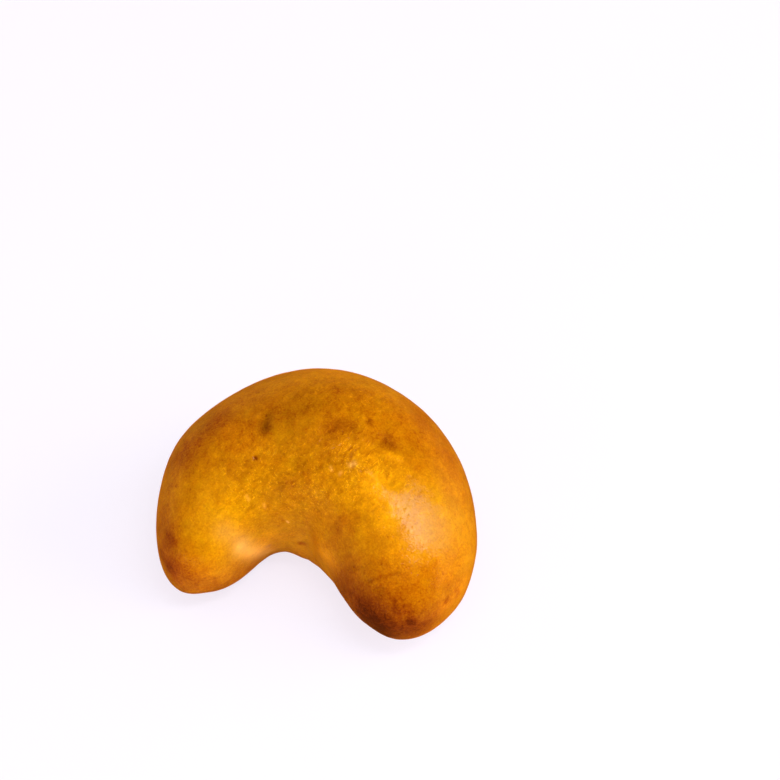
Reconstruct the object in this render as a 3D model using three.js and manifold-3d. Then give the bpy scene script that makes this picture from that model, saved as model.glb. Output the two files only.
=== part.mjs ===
// Crescent bun: one plump roll of enriched dough, bent into a crescent, egg-washed and baked whole.
// Millimetres, +Z up. The bun rests on its flat base, with its two lobes towards -Y and its bent
// back towards +Y. The origin is under the middle of its box, at the base.

import * as THREE from 'three';
import { LoftGeometry } from 'three/addons/geometries/LoftGeometry.js';
import { mergeVertices } from 'three/addons/utils/BufferGeometryUtils.js';
import Module from 'manifold-3d';

// Egg-washed crust
const CRUST_COLOUR = 0xc9840f;
const CRUST_ROUGHNESS = 0.42;

// The roll's spine is one arc, and each lobe follows it from the middle of the bun to its own tip
const BEND_RADIUS = 27;
const LEFT_LOBE = { length: 55, halfWidth: 18, height: 34.5, bluntness: 2.55 };
const RIGHT_LOBE = { length: 57.5, halfWidth: 24.5, height: 36, bluntness: 2.25 };

// Section at the middle of the bun: its reach to the outer and inner side of the spine, and its height
const MIDDLE = { outer: 29.5, inner: 20, height: 43 };

// Share of a lobe's length over which the middle section turns into the lobe's own
const LOBE_BLEND = 0.82;

// Section shape: height of the widest line as a share of the whole, and the fullness of the halves
// above and below it, where 2 is an ellipse and more is squarer
const BELLY_SHARE = 0.4;
const TOP_FULLNESS = 2.3;
const UNDER_FULLNESS = 3;

// Depth of dough that the flat base takes off the round underside
const BASE_DEPTH = 5.5;

// Swells and dents in the crust. along: -1 at the left tip to 1 at the right tip. around: degrees about
// the section, 0 on the outer side, 90 on top, 180 on the inner side. reach and height: in mm.
const SWELLS = [
  { name: 'left shoulder', along: -0.52, around: 35, reach: 14, height: 1.6 },
  { name: 'flat left back', along: -0.25, around: 40, reach: 14, height: -0.5 },
  { name: 'flat left end', along: -0.97, around: 0, reach: 11, height: -0.6 },
  { name: 'hollow left of the notch', along: -0.4, around: 210, reach: 8, height: -0.8 },
  { name: 'full inner side of the right lobe', along: 0.5, around: 180, reach: 14, height: 0.7 },
  { name: 'dent left of the crown', along: -0.26, around: 91, reach: 3.2, height: -0.9 },
  { name: 'dent on the crown', along: 0.1, around: 97, reach: 4, height: -0.5 },
  { name: 'dent right of the crown', along: 0.29, around: 85, reach: 3.5, height: -0.8 },
  { name: 'bump below the right dent', along: 0.35, around: 86, reach: 3.5, height: 0.4 },
];

// Mesh fineness
const SECTIONS = 72;
const POINTS_AROUND = 56;
const SLOPE_STEP = 1e-4;

// Room that the box under the base has beyond the bun on every side
const CUT_MARGIN = 20;

/** Signed power: keeps the sign of value and raises its size to exponent. */
function signedPower(value, exponent) {
  return Math.sign(value) * Math.abs(value) ** exponent;
}

/** The lobe that a place along the bun belongs to. */
function lobeAt(along) {
  return along < 0 ? LEFT_LOBE : RIGHT_LOBE;
}

/** Place and outward direction of the bent spine, seen from above, at a share along the bun. */
function spineAt(along) {
  const turn = along * lobeAt(along).length / BEND_RADIUS;
  const outward = new THREE.Vector2(Math.sin(turn), Math.cos(turn));
  const centre = new THREE.Vector2(outward.x, outward.y - 1).multiplyScalar(BEND_RADIUS);
  return { centre, outward };
}

/** Widths, height and taper of the section at a share along the bun; the taper falls to 0 at the tips. */
function sectionAt(along) {
  const lobe = lobeAt(along);
  const reach = Math.abs(along);
  const blend = THREE.MathUtils.smoothstep(reach, 0, LOBE_BLEND);
  return {
    outer: THREE.MathUtils.lerp(MIDDLE.outer, lobe.halfWidth, blend),
    inner: THREE.MathUtils.lerp(MIDDLE.inner, lobe.halfWidth, blend),
    height: THREE.MathUtils.lerp(MIDDLE.height, lobe.height, blend),
    taper: (1 - reach ** lobe.bluntness) ** (1 / lobe.bluntness),
  };
}

/** Point of the smooth roll: a rounded section, set across the spine, that stands on the base plane. */
function rollPoint(along, around) {
  const { centre, outward } = spineAt(along);
  const { outer, inner, height, taper } = sectionAt(along);
  const rise = Math.sin(around);
  const exponent = 2 / (rise > 0 ? TOP_FULLNESS : UNDER_FULLNESS);
  const sideways = signedPower(Math.cos(around), exponent) * (outer + inner) / 2 + (outer - inner) / 2;
  const bellyHeight = BELLY_SHARE * height;
  const swing = rise > 0 ? height - bellyHeight : bellyHeight + BASE_DEPTH;
  const across = outward.multiplyScalar(sideways * taper).add(centre);
  return new THREE.Vector3(across.x, across.y, bellyHeight + signedPower(rise, exponent) * swing * taper);
}

/** Outward direction of the smooth roll, from its slopes along and around. */
function rollNormal(along, around) {
  const before = rollPoint(along - SLOPE_STEP, around);
  const alongSlope = rollPoint(along + SLOPE_STEP, around).sub(before);
  const below = rollPoint(along, around - SLOPE_STEP);
  const aroundSlope = rollPoint(along, around + SLOPE_STEP).sub(below);
  return aroundSlope.cross(alongSlope).normalize();
}

/** Swells and dents with their middle as a point on the smooth roll. */
function placedSwells() {
  return SWELLS.map(({ along, around, reach, height }) => (
    { middle: rollPoint(along, THREE.MathUtils.degToRad(around)), reach, height }
  ));
}

/** Point of the crust: the smooth roll, moved out or in by the bell of each swell or dent near it. */
function crustPoint(along, around, swells) {
  const point = rollPoint(along, around);
  let height = 0;
  for (const swell of swells) {
    height += swell.height * Math.exp(-((point.distanceTo(swell.middle) / swell.reach) ** 2));
  }
  return point.addScaledVector(rollNormal(along, around), height);
}

/** Closed skin of the roll, lofted through sections that crowd together towards the blunt tips. */
function rollGeometry() {
  const swells = placedSwells();
  const sections = [];
  for (let row = 0; row < SECTIONS; row++) {
    const along = -Math.cos(Math.PI * (row + 0.5) / SECTIONS);
    const ring = [];
    for (let step = 0; step < POINTS_AROUND; step++) {
      ring.push(crustPoint(along, 2 * Math.PI * step / POINTS_AROUND, swells));
    }
    sections.push(ring);
  }
  return new LoftGeometry(sections, { capStart: true, capEnd: true });
}

/** Box under the base plane, wide enough to take off everything below it. */
function underBaseGeometry(roll) {
  roll.computeBoundingBox();
  const size = roll.boundingBox.getSize(new THREE.Vector3()).addScalar(2 * CUT_MARGIN);
  const middle = roll.boundingBox.getCenter(new THREE.Vector3());
  const box = new THREE.BoxGeometry(size.x, size.y, size.z);
  return box.translate(middle.x, middle.y, -size.z / 2);
}

/** Solid from a closed geometry: only its positions are kept, and its shared vertices are merged. */
function solidFrom(wasm, geometry) {
  const bare = new THREE.BufferGeometry();
  bare.setAttribute('position', geometry.getAttribute('position'));
  bare.setIndex(geometry.getIndex());
  const merged = mergeVertices(bare);
  const vertProperties = new Float32Array(merged.getAttribute('position').array);
  const triVerts = new Uint32Array(merged.getIndex().array);
  return new wasm.Manifold(new wasm.Mesh({ numProp: 3, vertProperties, triVerts }));
}

/** Geometry from a solid. */
function geometryFrom(solid) {
  const { vertProperties, triVerts } = solid.getMesh();
  const geometry = new THREE.BufferGeometry();
  geometry.setAttribute('position', new THREE.BufferAttribute(vertProperties, 3));
  geometry.setIndex(new THREE.BufferAttribute(triVerts, 1));
  geometry.computeVertexNormals();
  return geometry;
}

/** The whole bun as one named mesh, with the middle of its box over the origin. */
function makeBun(wasm) {
  const roll = rollGeometry();
  const underBase = underBaseGeometry(roll);
  const geometry = geometryFrom(solidFrom(wasm, roll).subtract(solidFrom(wasm, underBase)));
  const crust = new THREE.MeshStandardMaterial({
    color: CRUST_COLOUR,
    roughness: CRUST_ROUGHNESS,
    metalness: 0,
  });
  const bun = new THREE.Mesh(geometry, crust);
  bun.name = 'bun';
  geometry.computeBoundingBox();
  const middle = geometry.boundingBox.getCenter(new THREE.Vector3());
  bun.position.set(-middle.x, -middle.y, 0);
  return bun;
}

const wasm = await Module();
wasm.setup();

const crescentBun = new THREE.Group();
crescentBun.add(makeBun(wasm));

export default crescentBun;
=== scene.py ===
"""Looks of a crescent bun: one roll of enriched dough, bent, brushed with egg and baked golden brown.

Lengths are in millimetres and become metres where a mesh, a light or the camera is made. The frame is the
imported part's: +Z up from the flat base, the notch open to -Y, the origin under the middle of the bun.
"""

import logging
from dataclasses import dataclass, field
from enum import Enum
from itertools import product
from typing import Any

import bpy
import numpy as np
from mathutils import Matrix, Vector


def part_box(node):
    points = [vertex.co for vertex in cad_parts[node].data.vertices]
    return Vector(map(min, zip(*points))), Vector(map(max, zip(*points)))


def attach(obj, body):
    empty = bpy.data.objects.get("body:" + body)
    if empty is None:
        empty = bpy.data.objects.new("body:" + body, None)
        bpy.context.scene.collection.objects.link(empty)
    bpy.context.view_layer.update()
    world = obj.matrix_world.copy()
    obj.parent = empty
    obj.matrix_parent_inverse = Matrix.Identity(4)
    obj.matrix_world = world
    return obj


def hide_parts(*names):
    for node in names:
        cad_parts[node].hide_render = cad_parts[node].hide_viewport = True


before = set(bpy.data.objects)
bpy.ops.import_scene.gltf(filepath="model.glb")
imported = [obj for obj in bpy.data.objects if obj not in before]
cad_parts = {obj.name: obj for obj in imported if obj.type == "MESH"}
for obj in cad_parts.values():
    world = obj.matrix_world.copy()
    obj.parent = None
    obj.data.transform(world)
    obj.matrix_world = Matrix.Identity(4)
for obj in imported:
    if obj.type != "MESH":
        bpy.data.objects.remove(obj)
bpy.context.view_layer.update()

LOG = logging.getLogger("crescent_bun")
MM = 0.001
PICTURE_SIDE = 780

# Smallest length to divide by
TINY = 1e-12

# Vertices at the tips, the last ones of the crust
TIPS = 2

# Sockets of a Mix node for colours: its two colours, and what they give
MIX_FIRST, MIX_SECOND, MIX_RESULT = 6, 7, 2

Array = np.ndarray
Pixel = tuple[float, float]
Place = tuple[float, float, float]
Socket = bpy.types.NodeSocket
Tree = bpy.types.NodeTree


def linear_colour(code: str) -> tuple[float, float, float, float]:
    """Turns an sRGB colour into linear light, by a line near black and a power of 2.4 above it.

    Args:
        code: the colour as "#RRGGBB".

    Returns:
        Linear red, green and blue, and a full alpha.
    """
    srgb = np.array([int(code[start:start + 2], 16) for start in (1, 3, 5)]) / 255
    linear = np.where(srgb <= 0.04045, srgb / 12.92, ((srgb + 0.055) / 1.055) ** 2.4)
    return (*linear.tolist(), 1.0)


def smooth_step(low: float, high: float, value: Array) -> Array:
    """Rises from 0 at low to 1 at high along the cubic 3s^2 - 2s^3, which is level at both ends.

    Args:
        low: where the rise starts.
        high: where it ends; below low, the step falls instead.
        value: the places to work it out at.

    Returns:
        The step's height at each place.
    """
    share = np.clip((value - low) / (high - low), 0, 1)
    return share * share * (3 - 2 * share)


def signed_power(value: Array, exponent: Array) -> Array:
    """Keeps the sign of value and raises its size to exponent."""
    return np.sign(value) * np.abs(value) ** exponent


def unit(vectors: Array) -> Array:
    """Vectors along the last axis, scaled to length 1."""
    return vectors / np.maximum(np.linalg.norm(vectors, axis=-1, keepdims=True), TINY)


def direction(azimuth: float, elevation: float) -> Array:
    """Unit vector at an azimuth, from the notch's side towards +X, and an elevation, both in degrees."""
    turn, lift = np.radians(azimuth), np.radians(elevation)
    return np.array([np.sin(turn) * np.cos(lift), -np.cos(turn) * np.cos(lift), np.sin(lift)])


def empty_tree(owner: bpy.types.ID) -> Tree:
    """Readies a material, a lamp or a world for nodes of its own.

    Args:
        owner: what the nodes belong to.

    Returns:
        Its node tree, with nothing in it.
    """
    owner.use_nodes = True
    owner.node_tree.nodes.clear()
    return owner.node_tree


def add_node(
    tree: Tree,
    kind: str,
    settings: dict[str, Any] | None = None,
    inputs: dict[str | int, Any] | None = None,
) -> bpy.types.Node:
    """Adds a node with its settings and links.

    Args:
        tree: the node tree that takes the node.
        kind: the node's type.
        settings: the node's own properties, by name.
        inputs: by socket name or number, an output socket to link or a value to set.

    Returns:
        The new node.
    """
    node = tree.nodes.new(kind)
    for name, value in (settings or {}).items():
        setattr(node, name, value)
    for key, value in (inputs or {}).items():
        if isinstance(value, Socket):
            tree.links.new(value, node.inputs[key])
        else:
            node.inputs[key].default_value = value
    return node


def put_in_scene(name: str, data: bpy.types.ID) -> bpy.types.Object:
    """Makes an object of a mesh, a lamp or a camera and links it to the scene.

    Args:
        name: the object's name.
        data: what the object shows.

    Returns:
        The new object, at the origin.
    """
    thing = bpy.data.objects.new(name, data)
    bpy.context.scene.collection.objects.link(thing)
    return thing


def light_panel(name: str, width: float, height: float, radiance: float) -> bpy.types.AreaLight:
    """Makes the lamp of a rectangle of light.

    Args:
        name: the lamp's name.
        width: the rectangle's width in mm.
        height: its height in mm.
        radiance: how bright its face is; its power is pi times that and its area.

    Returns:
        The new lamp.
    """
    lamp = bpy.data.lights.new(name, "AREA")
    lamp.shape = "RECTANGLE"
    lamp.size = width * MM
    lamp.size_y = height * MM
    lamp.energy = radiance * np.pi * lamp.size * lamp.size_y
    return lamp


@dataclass(frozen=True)
class DoughNoise:
    """Seeded gradient noise in space, for the unevenness of risen dough and its baked skin.

    slopes is how many random slopes it deals out, and spread brings its values to about -1 to 1.
    """

    seed: int
    slopes: int = 256
    spread: float = 1.6

    def sample(self, places: Array, wavelength: float) -> Array:
        """Works out smooth uneven values.

        Each corner of a lattice of cubes, one wavelength wide, holds a random slope. A value is the blend
        of the heights that the eight corners' slopes give, faded by 6s^5 - 15s^4 + 10s^3 along a side s.

        Args:
            places: points in mm, along the last axis.
            wavelength: width of a cube in mm.

        Returns:
            One value for each point.
        """
        random = np.random.default_rng(self.seed)
        slopes = unit(random.normal(size=(self.slopes, 3)))
        shuffle = random.permutation(self.slopes)
        scaled = places / wavelength
        cell = np.floor(scaled)
        part = scaled - cell
        fade = part ** 3 * (part * (part * 6 - 15) + 10)
        total = np.zeros(places.shape[:-1])
        for corner in product((0, 1), repeat=3):
            lattice = (cell + corner).astype(int) % self.slopes
            key = shuffle[lattice[..., 0]]
            key = shuffle[(key + lattice[..., 1]) % self.slopes]
            key = shuffle[(key + lattice[..., 2]) % self.slopes]
            height = np.sum(slopes[key] * (part - corner), axis=-1)
            total += height * np.prod(np.where(corner, fade, 1 - fade), axis=-1)
        return total * self.spread


@dataclass(frozen=True)
class Unevenness:
    """One layer of unevenness: its strength, the width of its hills in mm, and its shift in the noise."""

    strength: float
    width: float
    shift: float = 0.0

    def at(self, points: Array, dough: DoughNoise) -> Array:
        """The layer's value at each point."""
        return self.strength * dough.sample(points + self.shift, self.width)


@dataclass(frozen=True)
class OvenBrowning:
    """How dark the oven bakes the crust before its marks, from 0 for pale gold to 1 for dark brown.

    even is the browning all over. tip adds to it past tip_start of a lobe's length, and foot below
    foot_height in mm, next to the hot tray, where it also stands for painted shade near the table.
    """

    even: float = 0.36
    tip: float = 0.05
    tip_start: float = 0.8
    foot: float = 0.15
    foot_height: float = 16.0
    clouds: Unevenness = Unevenness(strength=0.05, width=12.0, shift=160.0)

    def level(self, points: Array, along: Array, dough: DoughNoise) -> Array:
        """Adds up the browning of the crust.

        Args:
            points: points of the crust in mm.
            along: their place along the spine, from -1 to 1.
            dough: the noise that its clouds come from.

        Returns:
            The browning at each point.
        """
        tips = smooth_step(self.tip_start, 1.0, np.abs(along))
        foot = smooth_step(self.foot_height, 0.0, points[:, 2])
        return self.even + self.tip * tips + self.foot * foot + self.clouds.at(points, dough)


@dataclass(frozen=True)
class Lobe:
    """One lobe, from the middle of the spine to its tip: its length, half width and height.

    bluntness is the power of its taper: 2 rounds the tip off as an ellipse, and more makes it blunter.
    """

    length: float
    half_width: float
    height: float
    bluntness: float


@dataclass(frozen=True)
class RollForm:
    """Smooth form of the roll: rounded sections across a spine that is one arc.

    Its two parameters are along, from -1 at the left tip to 1 at the right tip, and around, the angle
    about the section in radians, 0 on the outer side and a quarter turn on top.

    The middle section reaches middle_outer and middle_inner to the two sides of the spine, and turns into
    a lobe's own over lobe_blend of its length. belly_share is how high a section is widest, as a share of
    its height, and the fullness of the halves above and below that is 2 for an ellipse and more for a
    squarer one. base_depth is how far the round underside goes below the base, and slope_step the step of
    the parameters that slopes are taken over.
    """

    bend_radius: float = 27.0
    left: Lobe = Lobe(length=55.0, half_width=18.0, height=34.5, bluntness=2.55)
    right: Lobe = Lobe(length=57.5, half_width=24.5, height=36.0, bluntness=2.25)
    middle_outer: float = 29.5
    middle_inner: float = 20.0
    middle_height: float = 43.0
    lobe_blend: float = 0.82
    belly_share: float = 0.4
    top_fullness: float = 2.3
    under_fullness: float = 3.0
    base_depth: float = 5.5
    slope_step: float = 1e-4

    def by_lobe(self, along: Array, size: str) -> Array:
        """The named size of the lobe that each place along the bun belongs to."""
        return np.where(along < 0, getattr(self.left, size), getattr(self.right, size))

    def straight(self, along: Array, around: Array) -> Array:
        """Works out the roll before it is bent, as a straight roll along X.

        The section is a superellipse with a fuller lower half, set off to its outer side, and a taper of
        (1 - |along|^bluntness)^(1 / bluntness) closes it at the tips.

        Args:
            along: place along the spine.
            around: angle about the section.

        Returns:
            Length along the spine, reach to its outer side and height of each point, in mm.
        """
        reach = np.minimum(np.abs(along), 1.0)
        blend = smooth_step(0, self.lobe_blend, reach)
        half_width = self.by_lobe(along, "half_width")
        outer = self.middle_outer + (half_width - self.middle_outer) * blend
        inner = self.middle_inner + (half_width - self.middle_inner) * blend
        height = self.middle_height + (self.by_lobe(along, "height") - self.middle_height) * blend
        bluntness = self.by_lobe(along, "bluntness")
        taper = (1 - reach ** bluntness) ** (1 / bluntness)
        rise = np.sin(around)
        exponent = 2 / np.where(rise > 0, self.top_fullness, self.under_fullness)
        sideways = signed_power(np.cos(around), exponent) * (outer + inner) / 2 + (outer - inner) / 2
        belly = self.belly_share * height
        swing = np.where(rise > 0, height - belly, belly + self.base_depth)
        length = along * self.by_lobe(along, "length")
        lift = belly + signed_power(rise, exponent) * swing * taper
        return np.stack([length, sideways * taper, lift], axis=-1)

    def points(self, along: Array, around: Array) -> Array:
        """Bends the straight roll: each section turns about the bend by its length over the bend's radius.

        Args:
            along: place along the spine.
            around: angle about the section.

        Returns:
            Points of the bent roll in mm, with the middle of its spine over the origin.
        """
        straight = self.straight(along, around)
        turn = straight[..., 0] / self.bend_radius
        from_bend = self.bend_radius + straight[..., 1]
        across = np.sin(turn) * from_bend
        back = np.cos(turn) * from_bend - self.bend_radius
        return np.stack([across, back, straight[..., 2]], axis=-1)

    def outward(self, along: Array, around: Array) -> Array:
        """Crosses the slope around the section with the slope along the spine.

        Args:
            along: place along the spine.
            around: angle about the section.

        Returns:
            Outward directions of the bent roll; at the very tips they have no meaning.
        """
        step = self.slope_step
        along_slope = self.points(along + step, around) - self.points(along - step, around)
        around_slope = self.points(along, around + step) - self.points(along, around - step)
        return unit(np.cross(around_slope, along_slope))


@dataclass(frozen=True)
class PhotoView:
    """The photograph's view: a camera that looks down on the table from the notch's side.

    aim is the point of the table at the middle of the picture, and near the least depth that it shows, in
    mm. A point of the crust lies under a pixel when it is seen within catch pixels of it, or, if none is,
    within slack pixels of being the nearest.
    """

    azimuth: float = 12.1
    elevation: float = 54.0
    distance: float = 600.0
    aim: Place = (8.02, 52.25, 0.0)
    lens: float = 92.11
    sensor: float = 36.0
    near: float = 50.0
    catch: float = 2.0
    slack: float = 0.1

    def axes(self) -> tuple[Array, Array, Array]:
        """Finds the picture's axes.

        Returns:
            Its right and up, and the way back to the camera, as unit vectors.
        """
        turn = np.radians(self.azimuth)
        right = np.array([np.cos(turn), np.sin(turn), 0.0])
        back = direction(self.azimuth, self.elevation)
        return right, np.cross(back, right), back

    def stand(self) -> Array:
        """Where the camera stands, in mm."""
        return np.array(self.aim) + self.axes()[2] * self.distance

    def pixels(self, points: Array) -> tuple[Array, Array]:
        """Projects points into the picture.

        Args:
            points: points in mm, along the last axis.

        Returns:
            Their pixels, and their depth in front of the camera in mm.
        """
        right, up, back = self.axes()
        offset = points - self.stand()
        depth = -offset @ back
        scale = self.lens / self.sensor * PICTURE_SIDE / depth
        middle = PICTURE_SIDE / 2
        seen = np.stack([middle + scale * (offset @ right), middle - scale * (offset @ up)], axis=-1)
        return seen, depth

    def place(self, pixel: Pixel, points: Array, outward: Array) -> Array:
        """Finds the point of a surface that shows at a pixel.

        Args:
            pixel: the place in the picture.
            points: points of the surface in mm.
            outward: the surface's outward directions.

        Returns:
            The nearest to the camera of the points that face it and lie under the pixel.
        """
        seen, depth = self.pixels(points)
        off = np.linalg.norm(seen - np.array(pixel), axis=-1)
        faces = np.sum((self.stand() - points) * outward, axis=-1) > 0
        under = faces & (off < max(self.catch, off[faces].min() + self.slack))
        return points[np.argmin(np.where(under, depth, np.inf))]

    def build(self) -> bpy.types.Object:
        """Makes the scene's camera.

        Returns:
            The camera.
        """
        data = bpy.data.cameras.new("photo_camera")
        data.lens = self.lens
        data.sensor_width = self.sensor
        data.clip_start = self.near * MM
        camera = put_in_scene("photo_camera", data)
        camera.location = Vector(self.stand() * MM)
        camera.rotation_euler = Vector(-self.axes()[2]).to_track_quat("-Z", "Y").to_euler()
        bpy.context.scene.camera = camera
        return camera


@dataclass(frozen=True)
class Swell:
    """A broad rise or hollow of the roll: a bell of the given height that fades over reach, in mm.

    along and around are its place on the roll, here with around in degrees.
    """

    name: str
    along: float
    around: float
    reach: float
    height: float


@dataclass(frozen=True)
class Mark:
    """A mark of shaping, baking or painted light and shade, along a line of the picture from start to end.

    reach is how far it fades from the line in mm, and rise how far it lifts the crust in mm, negative for
    a dent. browning is how much darker it is baked, negative for paler; in a few hollows and at the right
    lobe's foot it is painted shade. shade is how much brighter its colour is as a share: mostly painted
    light and shade, lighter on lit rims, fronts, bumps and blisters and darker in dents, creases and
    shaded patches. paleness_and_highlight is its share of pale dough, which on the beads is a painted
    highlight, wrinkle how far its skin is drawn into folds, and gloss how much more film of egg it has
    than usual, as a share.
    """

    name: str
    start: Pixel
    end: Pixel
    reach: float
    rise: float = 0.0
    browning: float = 0.0
    shade: float = 0.0
    paleness_and_highlight: float = 0.0
    wrinkle: float = 0.0
    gloss: float = 0.0


SWELLS = (
    Swell("left shoulder", along=-0.52, around=35, reach=14, height=1.6),
    Swell("flat left back", along=-0.25, around=40, reach=14, height=-0.5),
    Swell("flat left end", along=-0.97, around=0, reach=11, height=-0.6),
    Swell("hollow left of the notch", along=-0.4, around=210, reach=8, height=-0.8),
    Swell("full inner side of the right lobe", along=0.5, around=180, reach=14, height=0.7),
)

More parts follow.
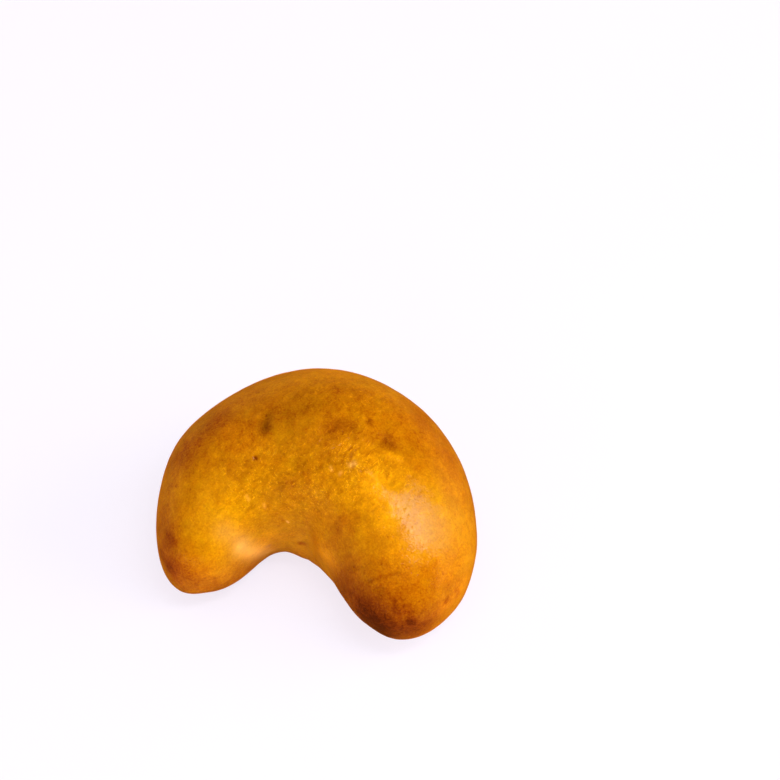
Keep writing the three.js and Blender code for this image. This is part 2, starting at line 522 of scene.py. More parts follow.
MARKS = (
    # Broad differences in baking, and broad light and shade painted into the colour by the shade amounts
    Mark("pale top of the left lobe", (215, 532), (235, 516), reach=8.5, browning=-0.2),
    # Pale dough beside the notch, with light painted on the skin there
    Mark(
        "pale strip beside the notch", (242, 548), (266, 556),
        reach=2.8, browning=-0.12, paleness_and_highlight=0.3, shade=0.28,
    ),
    # A little more pale dough above it, with a touch of painted light
    Mark("pale inner side of the left lobe", (226, 532), (244, 544), reach=2.8, paleness_and_highlight=0.15, shade=0.04),
    Mark("dull front of the left lobe", (222, 555), (246, 558), reach=2.6, gloss=-0.5),
    # Painted light on the rims of the notch
    Mark("painted light on the left rim of the notch", (250, 553), (272, 551), reach=2.6, shade=0.3),
    Mark("painted light on the rim above the notch", (266, 542), (328, 560), reach=3.4, shade=0.4),
    Mark("wrinkled middle", (256, 486), (345, 472), reach=11.0, wrinkle=0.8),
    Mark("wrinkled crown", (320, 390), (370, 400), reach=7.0, wrinkle=0.4),
    Mark("drawn skin above the right lobe", (345, 450), (402, 482), reach=4.0, wrinkle=0.7, gloss=-0.9),
    Mark("puckered skin on the right lobe", (366, 490), (388, 520), reach=4.5, wrinkle=0.3),
    Mark("dull skin under the right dent", (372, 452), (404, 464), reach=3.2, gloss=-0.8),
    Mark("dull end of that skin", (383, 480), (393, 486), reach=2.2, gloss=-0.5),
    # Painted light: the broad shine beside the right lobe's highlight, and the lit front of its side
    Mark("painted light on the inner side of the right lobe", (372, 484), (399, 546), reach=4.6, shade=0.26),
    Mark("painted light on the front of the right lobe's side", (414, 560), (452, 566), reach=5.0, shade=0.14),
    Mark("pale top of the right lobe", (385, 490), (430, 520), reach=10.0, browning=-0.16),
    Mark("browned left shoulder", (185, 450), (215, 425), reach=10.0, browning=0.22),
    Mark("browned rim of the left shoulder", (168, 468), (196, 444), reach=3.2, browning=0.14),
    Mark("browned left end", (162, 525), (170, 560), reach=8.0, browning=0.35),
    Mark("browned foot of the left lobe", (195, 586), (250, 578), reach=7.0, browning=0.2),
    # Painted light along the lower rim of the left lobe
    Mark("painted light on the rim of the left lobe", (178, 582), (204, 590), reach=2.8, shade=0.22),
    # Browning, with painted shade on the right tip and along the foot and edge by the notch, where the bun
    # stands in its own shade
    Mark("browned right tip", (381, 632), (415, 632), reach=7.3, browning=0.56, shade=-0.1),
    Mark("browned foot by the notch", (346, 584), (367, 610), reach=6.2, browning=0.42, shade=-0.13),
    Mark("browned edge by the notch", (337, 584), (374, 636), reach=4.0, browning=0.3, shade=-0.16),
    Mark("browned right side of the back", (432, 428), (462, 480), reach=9.0, browning=0.16),
    Mark("browned end of the right lobe", (402, 596), (445, 590), reach=9.0, browning=0.24),
    # Painted light along the lower rim of the right lobe
    Mark("painted light on the rim of the right lobe", (464, 585), (446, 608), reach=3.2, shade=0.32),
    Mark("browned inner side of the right lobe", (340, 545), (375, 555), reach=8.0, browning=0.1),
    Mark("browned crown", (270, 400), (410, 425), reach=13.0, browning=0.15),
    # Painted light along the rim of the back
    Mark("painted light on the rim of the back", (228, 402), (335, 371), reach=4.5, shade=0.22),
    # Browning with a little painted shade on the middle of the crown, then painted shade in patches beside
    # the crown and the middle
    Mark("browned middle of the crown", (300, 396), (362, 400), reach=5.0, browning=0.08, shade=-0.06),
    Mark("painted shade left of the crown", (304, 406), (284, 436), reach=4.5, shade=-0.2),
    Mark("painted shade right of the middle", (318, 448), (342, 455), reach=3.5, shade=-0.1),
    Mark("painted shade left of the middle", (256, 492), (298, 472), reach=5.0, shade=-0.14),
    Mark("painted shade in the hollow beside the right lobe", (350, 474), (356, 482), reach=1.8, shade=-0.13),
    # Painted light on the left shoulder and on the fronts of both lobes
    Mark("painted light on the left shoulder", (232, 430), (246, 440), reach=4.0, shade=0.16),
    Mark("painted light on the front of the left lobe", (182, 572), (244, 570), reach=5.0, shade=0.28),
    Mark("painted light on the front of the right lobe", (382, 576), (404, 586), reach=4.5, shade=0.14),
    # Fullness of the outline
    Mark("full middle above the notch", (306, 555), (312, 559), reach=5.0, rise=1.6),
    Mark("slack left of the notch", (264, 559), (278, 556), reach=5.0, rise=-0.9),
    Mark("full inner side of the right lobe", (341, 592), (357, 610), reach=5.2, rise=0.9),
    Mark("full end of the right lobe", (474, 556), (464, 594), reach=7.6, rise=0.75),
    Mark("full foot of the left lobe", (205, 590), (246, 574), reach=12.0, rise=0.75),
    Mark("full right of the back", (362, 374), (420, 408), reach=10.5, rise=0.25),
    Mark("full left of the back", (240, 390), (262, 380), reach=8.0, rise=0.15),
    # Dents and blisters, with shade painted into the dents, the pit and the hollow, and light painted on
    # the dent's rim, the bump and the blister
    Mark("left dent", (268, 415), (266, 425), reach=1.6, rise=-0.3, browning=0.14, shade=-0.4),
    Mark("stain left of that dent", (255, 425), (263, 431), reach=2.2, browning=0.1, shade=-0.1),
    Mark("rim of that dent", (256, 416), (260, 414), reach=0.7, rise=0.15, browning=-0.1, shade=0.12),
    Mark("dent on the crown", (331, 428), (349, 426), reach=2.4, rise=-0.2, browning=0.24, shade=-0.2),
    Mark("right dent", (386, 439), (393, 445), reach=2.2, rise=-0.3, browning=0.3, shade=-0.26),
    Mark("bump below that dent", (388, 453), (399, 457), reach=1.2, rise=0.2, browning=-0.2, shade=0.2),
    Mark("blister on the crown", (366, 418), (366, 419), reach=0.6, rise=0.2, browning=-0.15, shade=0.2),
    Mark("hollow beside it", (370, 420), (370, 421), reach=0.8, rise=-0.15, browning=0.35, shade=-0.25),
    Mark("pit", (254, 456), (254, 459), reach=0.5, rise=-0.3, browning=0.6, shade=-0.25),
    # Stains, and darker brown spots among the wrinkles
    Mark("dot above the notch", (299, 544), (303, 544), reach=0.8, rise=-0.1, browning=0.42),
    Mark("smudge right of the notch", (338, 527), (351, 517), reach=3.0, browning=0.16),
    Mark("smudge in the wrinkles", (290, 483), (293, 492), reach=1.6, browning=0.16),
    Mark("smudge above it", (303, 472), (306, 478), reach=1.6, browning=0.16),
    Mark("smudge left of it", (277, 476), (281, 480), reach=1.6, browning=0.13),
    Mark("blotch on the left tip", (169, 537), (172, 541), reach=1.7, browning=0.3),
    Mark("burnt end of the left tip", (160, 554), (169, 569), reach=3.0, browning=0.28),
    Mark("spot on the left shoulder", (184, 443), (185, 445), reach=1.1, browning=0.25),
    Mark("burnt left shoulder", (202, 430), (214, 421), reach=3.0, browning=0.14),
    Mark("spot above the right tip", (392, 601), (393, 602), reach=0.9, browning=0.14),
    Mark("blotch on the right tip", (397, 611), (401, 613), reach=1.8, browning=0.2),
    Mark("blotch at the foot of the right tip", (410, 624), (413, 625), reach=1.4, browning=0.24),
    Mark("red spot on the right lobe", (458, 590), (459, 594), reach=1.0, browning=0.2),
    Mark("second red spot", (447, 601), (449, 603), reach=0.9, browning=0.16),
    # Creases, browned and darkened by painted shade in their folds
    Mark("right crease", (367, 582), (397, 571), reach=0.5, rise=-0.1, browning=0.16, shade=-0.14),
    Mark("crease above it", (352, 567), (385, 562), reach=0.7, rise=-0.15, browning=0.08, shade=-0.1),
    Mark("crease below it", (350, 592), (380, 588), reach=0.7, rise=-0.15, browning=0.08, shade=-0.1),
    # Beads of egg wash, with painted highlights of pale colour and brightness on them and painted shade in
    # the hollow beside one
    Mark("large bead", (351, 464), (354, 462), reach=0.7, rise=0.12, paleness_and_highlight=0.3, shade=0.2),
    Mark("bead left of it", (330, 466), (330, 470), reach=0.4, rise=0.1, paleness_and_highlight=0.15, shade=0.3),
    Mark("small bead", (340, 471), (340, 473), reach=0.4, rise=0.1, paleness_and_highlight=0.15, shade=0.25),
    Mark("bead above the notch", (287, 523), (288, 524), reach=0.3, rise=0.12, paleness_and_highlight=0.35, shade=0.4),
    Mark("hollow beside that bead", (280, 520), (283, 522), reach=0.5, rise=-0.1, browning=0.25),
    Mark("bead at the left lobe", (248, 497), (250, 501), reach=0.45, rise=0.1, paleness_and_highlight=0.1, shade=0.3),
    Mark("second bead there", (264, 505), (265, 509), reach=0.4, rise=0.1, paleness_and_highlight=0.1, shade=0.3),
    Mark("crumb at the notch", (268, 546), (270, 547), reach=0.5, rise=0.15, browning=0.4, paleness_and_highlight=0.2),
)


class CrustField(Enum):
    """What each vertex of the crust keeps for its finish, by the name of the mesh attribute."""

    BROWNING = "browning"
    # Brightness share: mostly painted light and shade, with tone that differs at random
    SHADE = "shade"
    # Pale dough, and painted highlights on the beads
    BLOOM = "paleness_and_highlight"
    WRINKLE = "wrinkle"
    GLOSS = "gloss"
    UNDER = "under"


Kept = dict[CrustField, Socket]


@dataclass(frozen=True)
class CrustGrid:
    """Grid of the two parameters that the crust is worked out on, with a single vertex at each tip."""

    rows: int = 330
    columns: int = 288
    top_crowding: float = 0.35

    def parameters(self) -> tuple[Array, Array]:
        """Spreads the vertices.

        Rows crowd together towards the tips as -cos does, and columns towards the top, by adding a cosine
        to an even turn. The two tips come last.

        Returns:
            along and around of every vertex.
        """
        along = -np.cos(np.pi * (np.arange(self.rows) + 0.5) / self.rows)
        turn = 2 * np.pi * np.arange(self.columns) / self.columns
        around = turn + self.top_crowding * np.cos(turn)
        grid_along, grid_around = np.meshgrid(along, around, indexing="ij")
        return np.append(grid_along.ravel(), [-1, 1]), np.append(grid_around.ravel(), [0, 0])

    def faces(self) -> list[list[int]]:
        """Joins the vertices with faces that point outwards.

        Returns:
            Vertex numbers of each face: fours over the skin, and threes that close each tip.
        """
        vertex = np.arange(self.rows * self.columns).reshape(self.rows, self.columns)
        beside = np.roll(vertex, -1, axis=1)
        skin = np.stack([vertex[:-1], beside[:-1], beside[1:], vertex[1:]], axis=-1).reshape(-1, 4)
        tip = np.full(self.columns, vertex.size)
        left_tip = np.stack([tip, beside[0], vertex[0]], axis=-1)
        right_tip = np.stack([tip + 1, vertex[-1], beside[-1]], axis=-1)
        return skin.tolist() + left_tip.tolist() + right_tip.tolist()


class Spread(Enum):
    """How a pattern's noise becomes its level: the curve, and the levels at its low and its high end.

    A mottle swings to both sides of the plain crust, and flecks stand out from it to one side.
    """

    MOTTLE = ("LINEAR", -0.5, 0.5)
    FLECKS = ("SMOOTHSTEP", 0.0, 1.0)


@dataclass(frozen=True)
class Pattern:
    """An uneven pattern of the crust, from noise that is stretched along one direction of the table.

    size and length are the width and length of its features in mm, and turn the direction of their length,
    in degrees from the back of the bun; bend curls them. The noise from low to high becomes its level, and
    browning, shade and height say how far a whole step of the level shifts the baking, the brightness as a
    share, and the crust in mm. On the flecks and wrinkles that brightness is light painted on the raised
    skin, and elsewhere it is tone that differs at random. A folded pattern shows only as far as the crust
    is wrinkled.
    """

    size: float
    length: float
    turn: float = 0.0
    detail: float = 2.0
    octave_share: float = 0.5
    bend: float = 0.0
    spread: Spread = Spread.MOTTLE
    low: float = 0.0
    high: float = 1.0
    browning: float = 0.0
    shade: float = 0.0
    height: float = 0.0
    folded: bool = False

    def level(self, tree: Tree, place: Socket, wrinkle: Socket) -> Socket:
        """Adds the pattern's nodes.

        Args:
            tree: the crust's node tree.
            place: the place on the bun.
            wrinkle: how wrinkled the crust is there.

        Returns:
            The pattern's level.
        """
        stretched = add_node(
            tree,
            "ShaderNodeMapping",
            {"vector_type": "TEXTURE"},
            {
                "Vector": place,
                # Another far-off place of the noise for each pattern, so that no two are alike
                "Location": (self.size, self.length, self.turn),
                "Rotation": (0.0, 0.0, np.radians(self.turn)),
                "Scale": (self.size * MM, self.length * MM, self.size * MM),
            },
        ).outputs["Vector"]
        noise = add_node(
            tree,
            "ShaderNodeTexNoise",
            inputs={
                "Vector": stretched,
                "Scale": 1.0,
                "Detail": self.detail,
                "Roughness": self.octave_share,
                "Distortion": self.bend,
            },
        ).outputs["Fac"]
        curve, lowest, highest = self.spread.value
        ends = {"From Min": self.low, "From Max": self.high, "To Min": lowest, "To Max": highest}
        level = add_node(
            tree, "ShaderNodeMapRange", {"interpolation_type": curve}, {"Value": noise, **ends}
        ).outputs["Result"]
        if not self.folded:
            return level
        return add_node(
            tree, "ShaderNodeMath", {"operation": "MULTIPLY"}, {0: level, 1: wrinkle}
        ).outputs["Value"]


@dataclass(frozen=True)
class EggWashedCrust:
    """Enriched bread crust, brushed with egg before baking.

    The eye sees a golden skin that browns where it is thin or near the tray, where it is also darkened by
    painted shade, mottled by the brush and drawn into fine flecks and wrinkles whose raised skin is
    painted brighter as if lit, with small pores, under a thin film of set egg that mirrors the strip
    light.

    shades are the skin's colours by how dark it is baked. The skin itself shines weakly, by sheen_level,
    and its fine fuzz lights it up where it is seen edge on. film is the share of the skin that the film
    covers, and pore_dullness how much of that a pore loses. Pores lie pore_spacing apart, in mm, and reach
    pore_reach of that from their middle.
    """

    shades: tuple[tuple[float, str], ...] = (
        (0.0, "#CB8A04"),
        (0.2, "#C27D03"),
        (0.4, "#B66E02"),
        (0.6, "#A65B02"),
        (0.8, "#914401"),
        (1.0, "#7A2E01"),
        (1.2, "#551A00"),
    )
    # Pale dough colour, which on the beads stands for a painted highlight
    pale_dough_and_highlight_colour: str = "#D9A45C"
    underside: str = "#8F5215"
    sheen_colour: str = "#FFB535"
    sheen_level: float = 0.15
    roughness: float = 0.32
    fuzz: float = 0.5
    fuzz_colour: str = "#FF8C00"
    fuzz_roughness: float = 0.35
    film: float = 0.34
    film_roughness: float = 0.1
    film_ior: float = 1.5
    patterns: tuple[Pattern, ...] = (
        # Clouds of browning
        Pattern(size=5.5, length=6.0, turn=20.0, detail=4.0, octave_share=0.9, browning=0.85),
        # Clouds of brightness
        Pattern(size=5.0, length=5.0, turn=50.0, detail=4.0, octave_share=0.9, shade=0.8),
        # Fine flecks, drawn two ways: raised, paler, and painted brighter as glints
        Pattern(
            size=0.55, length=2.4, turn=-30.0, bend=0.8, spread=Spread.FLECKS, low=0.6, high=0.68,
            browning=-0.15, shade=0.26, height=0.03, folded=True,
        ),
        Pattern(
            size=0.55, length=2.2, turn=35.0, bend=0.8, spread=Spread.FLECKS, low=0.61, high=0.69,
            browning=-0.15, shade=0.26, height=0.03, folded=True,
        ),
        # Wrinkles, raised and painted paler and brighter on their ridges as if lit, and the smudges
        # between them
        Pattern(size=1.1, length=2.2, turn=-30.0, browning=-0.3, shade=0.44, height=0.13, folded=True),
        Pattern(size=2.4, length=4.5, turn=-35.0, bend=0.5, browning=0.45, shade=-0.35, folded=True),
        # Grain
        Pattern(size=0.5, length=0.5, detail=1.0, browning=0.45, height=0.033),
        # Freckles
        Pattern(
            size=1.5, length=1.5, turn=70.0, detail=1.0, spread=Spread.FLECKS, low=0.64, high=0.74,
            browning=0.12,
        ),
    )
    pore_spacing: float = 1.5
    pore_reach: float = 0.28
    pore_browning: float = 0.13
    pore_depth: float = 0.036
    pore_dullness: float = 0.28

    def pit(self, tree: Tree, place: Socket) -> Socket:
        """Adds the pores.

        Args:
            tree: the crust's node tree.
            place: the place on the bun.

        Returns:
            How deep in a pore the place is: 1 in its middle, and 0 from its rim on.
        """
        away = add_node(
            tree, "ShaderNodeTexVoronoi", inputs={"Vector": place, "Scale": 1 / (self.pore_spacing * MM)}
        ).outputs["Distance"]
        ends = {"From Max": self.pore_reach, "To Min": 1.0, "To Max": 0.0}
        return add_node(
            tree, "ShaderNodeMapRange", {"interpolation_type": "SMOOTHSTEP"}, {"Value": away, **ends}
        ).outputs["Result"]

    def surface(self, tree: Tree, place: Socket, pit: Socket, kept: Kept) -> tuple[Socket, Socket, Socket]:
        """Adds the patterns and the pores to what the vertices keep.

        Args:
            tree: the crust's node tree.
            place: the place on the bun.
            pit: how deep in a pore it is.
            kept: what the vertices keep.

        Returns:
            The browning, the brightness as a share with the painted light and shade in it, and the height
            in mm.
        """
        effects = [(pit, self.pore_browning, 0.0, -self.pore_depth)]
        for pattern in self.patterns:
            level = pattern.level(tree, place, kept[CrustField.WRINKLE])
            effects.append((level, pattern.browning, pattern.shade, pattern.height))
        sums = [kept[CrustField.BROWNING], kept[CrustField.SHADE], 0.0]
        for level, *shares in effects:
            for kind, share in enumerate(shares):
                if share:
                    terms = {0: level, 1: share, 2: sums[kind]}
                    total = add_node(tree, "ShaderNodeMath", {"operation": "MULTIPLY_ADD"}, terms)
                    sums[kind] = total.outputs["Value"]
        return tuple(sums)

    def colour(self, tree: Tree, browning: Socket, brightness: Socket, kept: Kept) -> Socket:
        """Adds the skin's colour, with the pale dough and painted highlights and the underside over it,
        scaled by the brightness.

        Args:
            tree: the crust's node tree.
            browning: how dark it is baked.
            brightness: how bright it is, as a share, painted light and shade included.
            kept: what the vertices keep.

        Returns:
            The colour.
        """
        darkest = self.shades[-1][0]
        share = add_node(
            tree, "ShaderNodeMath", {"operation": "DIVIDE"}, {0: browning, 1: darkest}
        ).outputs["Value"]
        ramp = add_node(tree, "ShaderNodeValToRGB", inputs={"Fac": share})
        stops = ramp.color_ramp.elements
        while len(stops) < len(self.shades):
            stops.new(1.0)
        for stop, (level, code) in zip(stops, self.shades):
            stop.position = level / darkest
            stop.color = linear_colour(code)
        colour = ramp.outputs["Color"]
        for over, code in ((CrustField.BLOOM, self.pale_dough_and_highlight_colour), (CrustField.UNDER, self.underside)):
            layers = {"Factor": kept[over], MIX_FIRST: colour, MIX_SECOND: linear_colour(code)}
            colour = add_node(tree, "ShaderNodeMix", {"data_type": "RGBA"}, layers).outputs[MIX_RESULT]
        # The brightness share, painted light and shade included, scales the colour
        return add_node(
            tree, "ShaderNodeVectorMath", {"operation": "SCALE"}, {0: colour, "Scale": brightness}
        ).outputs["Vector"]

    def cover(self, tree: Tree, pit: Socket, kept: Kept) -> Socket:
        """Adds the film's cover.

        Args:
            tree: the crust's node tree.
            pit: how deep in a pore the place is.
            kept: what the vertices keep.

        Returns:
            The share of the skin that the film covers.
        """
        whole = add_node(
            tree, "ShaderNodeMath", {"operation": "MULTIPLY"}, {0: kept[CrustField.GLOSS], 1: self.film}
        ).outputs["Value"]
        terms = {0: pit, 1: -self.pore_dullness, 2: whole}
        return add_node(tree, "ShaderNodeMath", {"operation": "MULTIPLY_ADD"}, terms).outputs["Value"]

    def material(self) -> bpy.types.Material:
        """Makes the crust's material from what its vertices keep, its patterns and its pores.

        Returns:
            The material.
        """
        material = bpy.data.materials.new("egg_washed_bread_crust")
        tree = empty_tree(material)
        kept = {
            crust_field: add_node(
                tree, "ShaderNodeAttribute", {"attribute_name": crust_field.value}
            ).outputs["Fac"]
            for crust_field in CrustField
        }
        place = add_node(tree, "ShaderNodeTexCoord").outputs["Object"]
        pit = self.pit(tree, place)
        browning, brightness, height = self.surface(tree, place, pit, kept)
        normal = add_node(
            tree, "ShaderNodeBump", inputs={"Strength": 1.0, "Distance": MM, "Height": height}
        ).outputs["Normal"]
        shader = add_node(
            tree,
            "ShaderNodeBsdfPrincipled",
            inputs={
                "Base Color": self.colour(tree, browning, brightness, kept),
                "Roughness": self.roughness,
                "Normal": normal,
                "Coat Normal": normal,
                "Specular IOR Level": self.sheen_level,
                "Specular Tint": linear_colour(self.sheen_colour),
                "Sheen Weight": self.fuzz,
                "Sheen Tint": linear_colour(self.fuzz_colour),
                "Sheen Roughness": self.fuzz_roughness,
                "Coat Weight": self.cover(tree, pit, kept),
                "Coat Roughness": self.film_roughness,
                "Coat IOR": self.film_ior,
            },
        )
        add_node(tree, "ShaderNodeOutputMaterial", inputs={"Surface": shader.outputs["BSDF"]})
        return material


@dataclass(frozen=True)
class CrescentBun:
    """The whole bun: its crust as one closed surface, baked and brushed.

    base_edge is how far the crust bends as it comes to the base, in mm. Below under_height, in mm, the
    underside's colour covers under_cover of the crust's own. wrinkle is how wrinkled the plain crust is.
    """

    form: RollForm = field(default_factory=RollForm)
    grid: CrustGrid = field(default_factory=CrustGrid)
    view: PhotoView = field(default_factory=PhotoView)
    finish: EggWashedCrust = field(default_factory=EggWashedCrust)
    swells: tuple[Swell, ...] = SWELLS
    marks: tuple[Mark, ...] = MARKS
    node: str = "bun"
    base_edge: float = 0.45
    under_cover: float = 0.75
    under_height: float = 0.4
    wrinkle: float = 0.2
    dough: DoughNoise = DoughNoise(seed=7)
    browning: OvenBrowning = OvenBrowning()
    relief: tuple[Unevenness, ...] = (
        Unevenness(strength=0.14, width=23.0),
        Unevenness(strength=0.05, width=8.0, shift=40.0),
        Unevenness(strength=0.035, width=2.4, shift=120.0),
    )

    def swelled(self, along: Array, around: Array) -> tuple[Array, Array]:
        """Gives the roll its broad swells and hollows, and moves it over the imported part.

        Each swell lifts the roll by its height times exp(-(d / reach)^2), with d the distance from its
        middle. A tip faces the way that the ring of points next to it faces on the whole.

        Args:
            along: place along the spine.
            around: angle about the section.

        Returns:
            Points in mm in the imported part's frame, and outward directions.
        """
        points = self.form.points(along, around)
        outward = self.form.outward(along, around)
        first_ring, last_ring = outward[:self.grid.columns], outward[-TIPS - self.grid.columns:-TIPS]
        outward[-TIPS:] = unit(np.stack([first_ring.mean(axis=0), last_ring.mean(axis=0)]))
        height = np.zeros(along.shape)
        for swell in self.swells:
            middle = self.form.points(np.array(swell.along), np.radians(swell.around))
            away = np.linalg.norm(points - middle, axis=-1) / swell.reach
            height += swell.height * np.exp(-away ** 2)
            LOG.debug("%s shaped", swell.name)
        points = points + outward * height[:, None]
        low, high = (np.array(corner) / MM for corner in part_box(self.node))
        shown = points[points[:, 2] >= 0]
        shift = (low + high) / 2 - (shown.min(axis=0) + shown.max(axis=0)) / 2
        points[:, :2] += shift[:2]
        return points, outward

    def marked(self, points: Array, outward: Array, along: Array) -> dict[str, Array]:
        """Works out the crust's relief and finish.

        To the plain crust, each mark adds its own amounts times exp(-(d / reach)^2), with d the distance
        from its line.

        Args:
            points: points of the swelled roll in mm.
            outward: its outward directions.
            along: place along the spine.

        Returns:
            The rise in mm, browning, shade, paleness_and_highlight, wrinkle and gloss of every point, by
            name.
        """
        amounts = {
            "rise": sum(layer.at(points, self.dough) for layer in self.relief),
            "browning": self.browning.level(points, along, self.dough),
            # Brightness share, which the marks raise with painted light and lower with painted shade
            "shade": np.ones(along.shape),
            "paleness_and_highlight": np.zeros(along.shape),
            "wrinkle": np.full(along.shape, self.wrinkle),
            "gloss": np.ones(along.shape),
        }
        for mark in self.marks:
            start = self.view.place(mark.start, points, outward)
            run = self.view.place(mark.end, points, outward) - start
            share = np.clip((points - start) @ run / max(run @ run, TINY), 0, 1)
            away = np.linalg.norm(points - start - share[:, None] * run, axis=-1) / mark.reach
            bell = np.exp(-away ** 2)
            for name, values in amounts.items():
                values += getattr(mark, name) * bell
            LOG.debug("%s marked", mark.name)
        return amounts

    def build(self) -> bpy.types.Object:
        """Makes the bun's mesh, with its finish kept on its vertices.

        The crust comes to rest on its base at the height (h + sqrt(h^2 + 4e^2)) / 2, with h its height
        before and e the base's edge, which is h well above the base and close to 0 below it.

        Returns:
            The bun.
        """
        along, around = self.grid.parameters()
        points, outward = self.swelled(along, around)
        amounts = self.marked(points, outward, along)
        crust = points + outward * amounts["rise"][:, None]
        height = crust[:, 2]
        amounts["under"] = self.under_cover * smooth_step(self.under_height, 0.0, height)
        crust[:, 2] = (height + np.sqrt(height ** 2 + 4 * self.base_edge ** 2)) / 2
        mesh = bpy.data.meshes.new("bun_crust")
        mesh.from_pydata(crust * MM, [], self.grid.faces())
        mesh.shade_smooth()
        for crust_field in CrustField:
            attribute = mesh.attributes.new(crust_field.value, "FLOAT", "POINT")
            attribute.data.foreach_set("value", amounts[crust_field.value])
        bun = put_in_scene("bun_crust", mesh)
        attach(bun, "root")
        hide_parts(self.node)
        return bun

    def dress(self, bun: bpy.types.Object) -> None:
        """Gives the bun its crust."""
        bun.data.materials.append(self.finish.material())


@dataclass(frozen=True)
class PaintedTable:
    """Smooth white-painted table top: matt, faintly lilac, with a slight unevenness of the paint.

    glow is the light of the bright room that it gives back evenly. The paint's own colours are dark, so
    that shadows on it stay faint.
    """

    side: float = 4000.0
    colour: str = "#827F84"
    colour_worn: str = "#7E7B80"
    glow_colour: str = "#FAF5FF"
    glow: float = 0.79
    roughness: float = 0.6
    cloud_size: float = 60.0

    def build(self) -> bpy.types.Object:
        """Makes the table top, a flat square under the bun that the film doesn't mirror.

        Returns:
            The table top.
        """
        share = np.linspace(-0.5, 0.5, 2) * self.side * MM
        across, back = np.meshgrid(share, share, indexing="ij")
        corners = np.stack([across, back, np.zeros_like(across)], axis=-1).reshape(-1, 3)
        mesh = bpy.data.meshes.new("table_top")
        mesh.from_pydata(corners, [], [(0, 2, 3, 1)])
        table = put_in_scene("table_top", mesh)
        table.visible_glossy = False
        return table

    def dress(self, table: bpy.types.Object) -> None:
        """Gives the table top its paint.

        Args:
            table: the table top.
        """
        material = bpy.data.materials.new("white_table_paint")
        tree = empty_tree(material)
        place = add_node(tree, "ShaderNodeTexCoord").outputs["Object"]
        cloud = add_node(
            tree, "ShaderNodeTexNoise", inputs={"Vector": place, "Scale": 1 / (self.cloud_size * MM)}
        ).outputs["Fac"]
        plain, worn = linear_colour(self.colour), linear_colour(self.colour_worn)
        paints = {"Factor": cloud, MIX_FIRST: plain, MIX_SECOND: worn}
        colour = add_node(tree, "ShaderNodeMix", {"data_type": "RGBA"}, paints).outputs[MIX_RESULT]
        shader = add_node(
            tree,
            "ShaderNodeBsdfPrincipled",
            inputs={
                "Base Color": colour,
                "Roughness": self.roughness,
                "Specular IOR Level": 0.0,
                "Emission Color": linear_colour(self.glow_colour),
                "Emission Strength": self.glow,
            },
        )
        add_node(tree, "ShaderNodeOutputMaterial", inputs={"Surface": shader.outputs["BSDF"]})
        table.data.materials.append(material)


@dataclass(frozen=True)
class StripLight:
    """Long narrow soft light that leans over the bun from the right and dims towards its foot.

    foot and head are the ends of its middle line, in mm to the right, to the camera and up from the bun.
    radiance is how bright its upper part is, and dim_end the share of its length where the dimming ends.
    """

    foot: Place = (500.0, -14.0, 170.0)
    head: Place = (75.0, 192.0, 1215.0)
    width: float = 175.0
    radiance: float = 12.0
    dim_end: float = 0.75

    def build(self, view: PhotoView) -> bpy.types.Object:
        """Makes the light, its face turned to the bun.

        Args:
            view: the view whose right and camera side its place is given by.

        Returns:
            The light.
        """
        right, _, back = view.axes()
        front = unit(back * np.array([1.0, 1.0, 0.0]))
        directions = np.array([right, front, [0.0, 0.0, 1.0]])
        foot, head = np.array(self.foot) @ directions, np.array(self.head) @ directions
        middle, rise = (foot + head) / 2, unit(head - foot)
        across = unit(np.cross(rise, middle))
        lamp = light_panel("strip_light", self.width, np.linalg.norm(head - foot), self.radiance)
        tree = empty_tree(lamp)
        spot = add_node(tree, "ShaderNodeNewGeometry").outputs["Parametric"]
        height = add_node(tree, "ShaderNodeSeparateXYZ", inputs={"Vector": spot}).outputs["Y"]
        strength = add_node(
            tree, "ShaderNodeMapRange", inputs={"Value": height, "From Max": self.dim_end}
        ).outputs["Result"]
        glow = add_node(tree, "ShaderNodeEmission", inputs={"Strength": strength})
        add_node(tree, "ShaderNodeOutputLight", inputs={"Surface": glow.outputs["Emission"]})
        strip = put_in_scene("strip_light", lamp)
        strip.location = Vector(middle * MM)
        strip.rotation_euler = Matrix([across, rise, np.cross(across, rise)]).transposed().to_euler()
        return strip


@dataclass(frozen=True)
class Softbox:
    """Broad soft light beside or over the table, which the crust's film doesn't mirror.

    azimuth and elevation say where it stands as seen from the bun, in degrees from the notch's side and
    above the table.
    """

    name: str
    azimuth: float
    elevation: float
    width: float
    height: float
    radiance: float
    distance: float = 1500.0

    def build(self) -> bpy.types.Object:
        """Makes the softbox, its face turned to the bun.

        Returns:
            The softbox.
        """
        away = direction(self.azimuth, self.elevation)
        softbox = put_in_scene(self.name, light_panel(self.name, self.width, self.height, self.radiance))
        softbox.location = Vector(away * self.distance * MM)
        softbox.rotation_euler = Vector(-away).to_track_quat("-Z", "Y").to_euler()
        softbox.visible_glossy = False
        return softbox


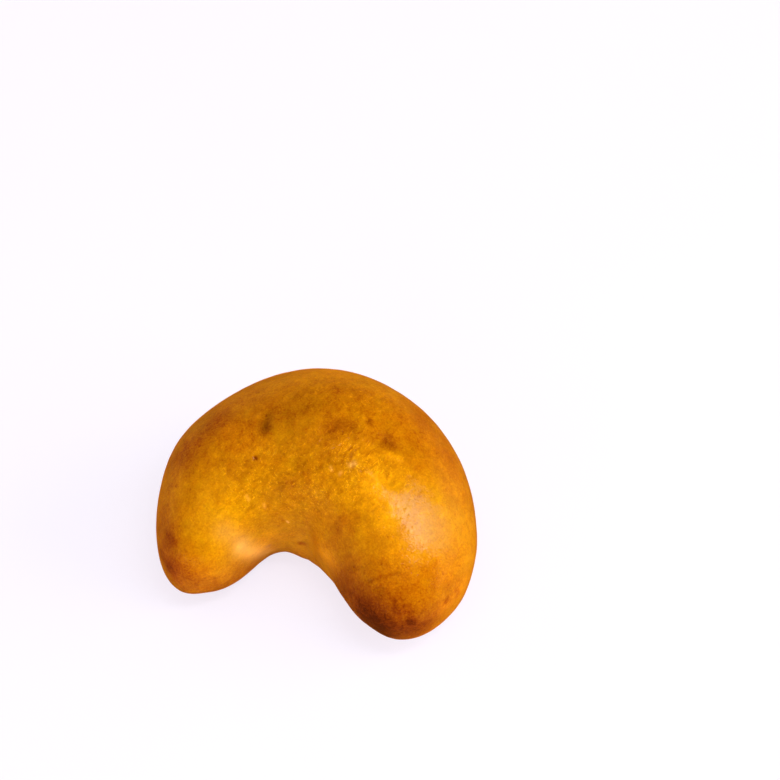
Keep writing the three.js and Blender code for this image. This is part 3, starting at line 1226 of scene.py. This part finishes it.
SOFTBOXES = (
    Softbox("side_softbox", azimuth=101.0, elevation=18.0, width=1600.0, height=900.0, radiance=6.3),
    Softbox("front_softbox", azimuth=-8.0, elevation=13.0, width=2200.0, height=600.0, radiance=2.4),
    Softbox("overhead_softbox", azimuth=0.0, elevation=88.0, width=1600.0, height=1600.0, radiance=1.0),
)


@dataclass(frozen=True)
class PaleRoom:
    """Light of a pale room, bright low on the left, in front, and fading to dim on the side away from it.

    It only fills shadows: the crust's film mirrors the strip light alone.
    """

    bright: float = 1.85
    dim: float = 0.02
    bright_azimuth: float = -63.0
    bright_elevation: float = -60.0

    def build(self) -> bpy.types.World:
        """Makes the room's light as the scene's world.

        Returns:
            The world.
        """
        world = bpy.data.worlds.new("pale_room")
        bpy.context.scene.world = world
        world.cycles_visibility.glossy = False
        tree = empty_tree(world)
        brightest = tuple(direction(self.bright_azimuth, self.bright_elevation))
        looked_at = add_node(tree, "ShaderNodeTexCoord").outputs["Generated"]
        nearness = add_node(
            tree, "ShaderNodeVectorMath", {"operation": "DOT_PRODUCT"}, {0: looked_at, 1: brightest}
        ).outputs["Value"]
        ends = {"From Min": -1.0, "From Max": 1.0, "To Min": self.dim, "To Max": self.bright}
        strength = add_node(
            tree, "ShaderNodeMapRange", {"interpolation_type": "SMOOTHSTEP"}, {"Value": nearness, **ends}
        ).outputs["Result"]
        white = linear_colour("#FFFFFF")
        light = add_node(tree, "ShaderNodeBackground", inputs={"Color": white, "Strength": strength})
        add_node(tree, "ShaderNodeOutputWorld", inputs={"Surface": light.outputs["Background"]})
        return world


def main() -> None:
    """Builds the bun, its table, the light and the camera."""
    logging.basicConfig(level=logging.INFO, format="%(name)s: %(message)s")
    bpy.context.scene.view_settings.view_transform = "Standard"
    bun_maker = CrescentBun()
    bun = bun_maker.build()
    bun_maker.dress(bun)
    LOG.info("%s: %d faces", bun.name, len(bun.data.polygons))
    table_maker = PaintedTable()
    table = table_maker.build()
    table_maker.dress(table)
    LOG.info("%s made", table.name)
    LOG.info("%s lit", StripLight().build(bun_maker.view).name)
    for softbox in SOFTBOXES:
        LOG.info("%s lit", softbox.build().name)
    LOG.info("%s lit", PaleRoom().build().name)
    LOG.info("%s set", bun_maker.view.build().name)


if __name__ == "__main__":
    main()
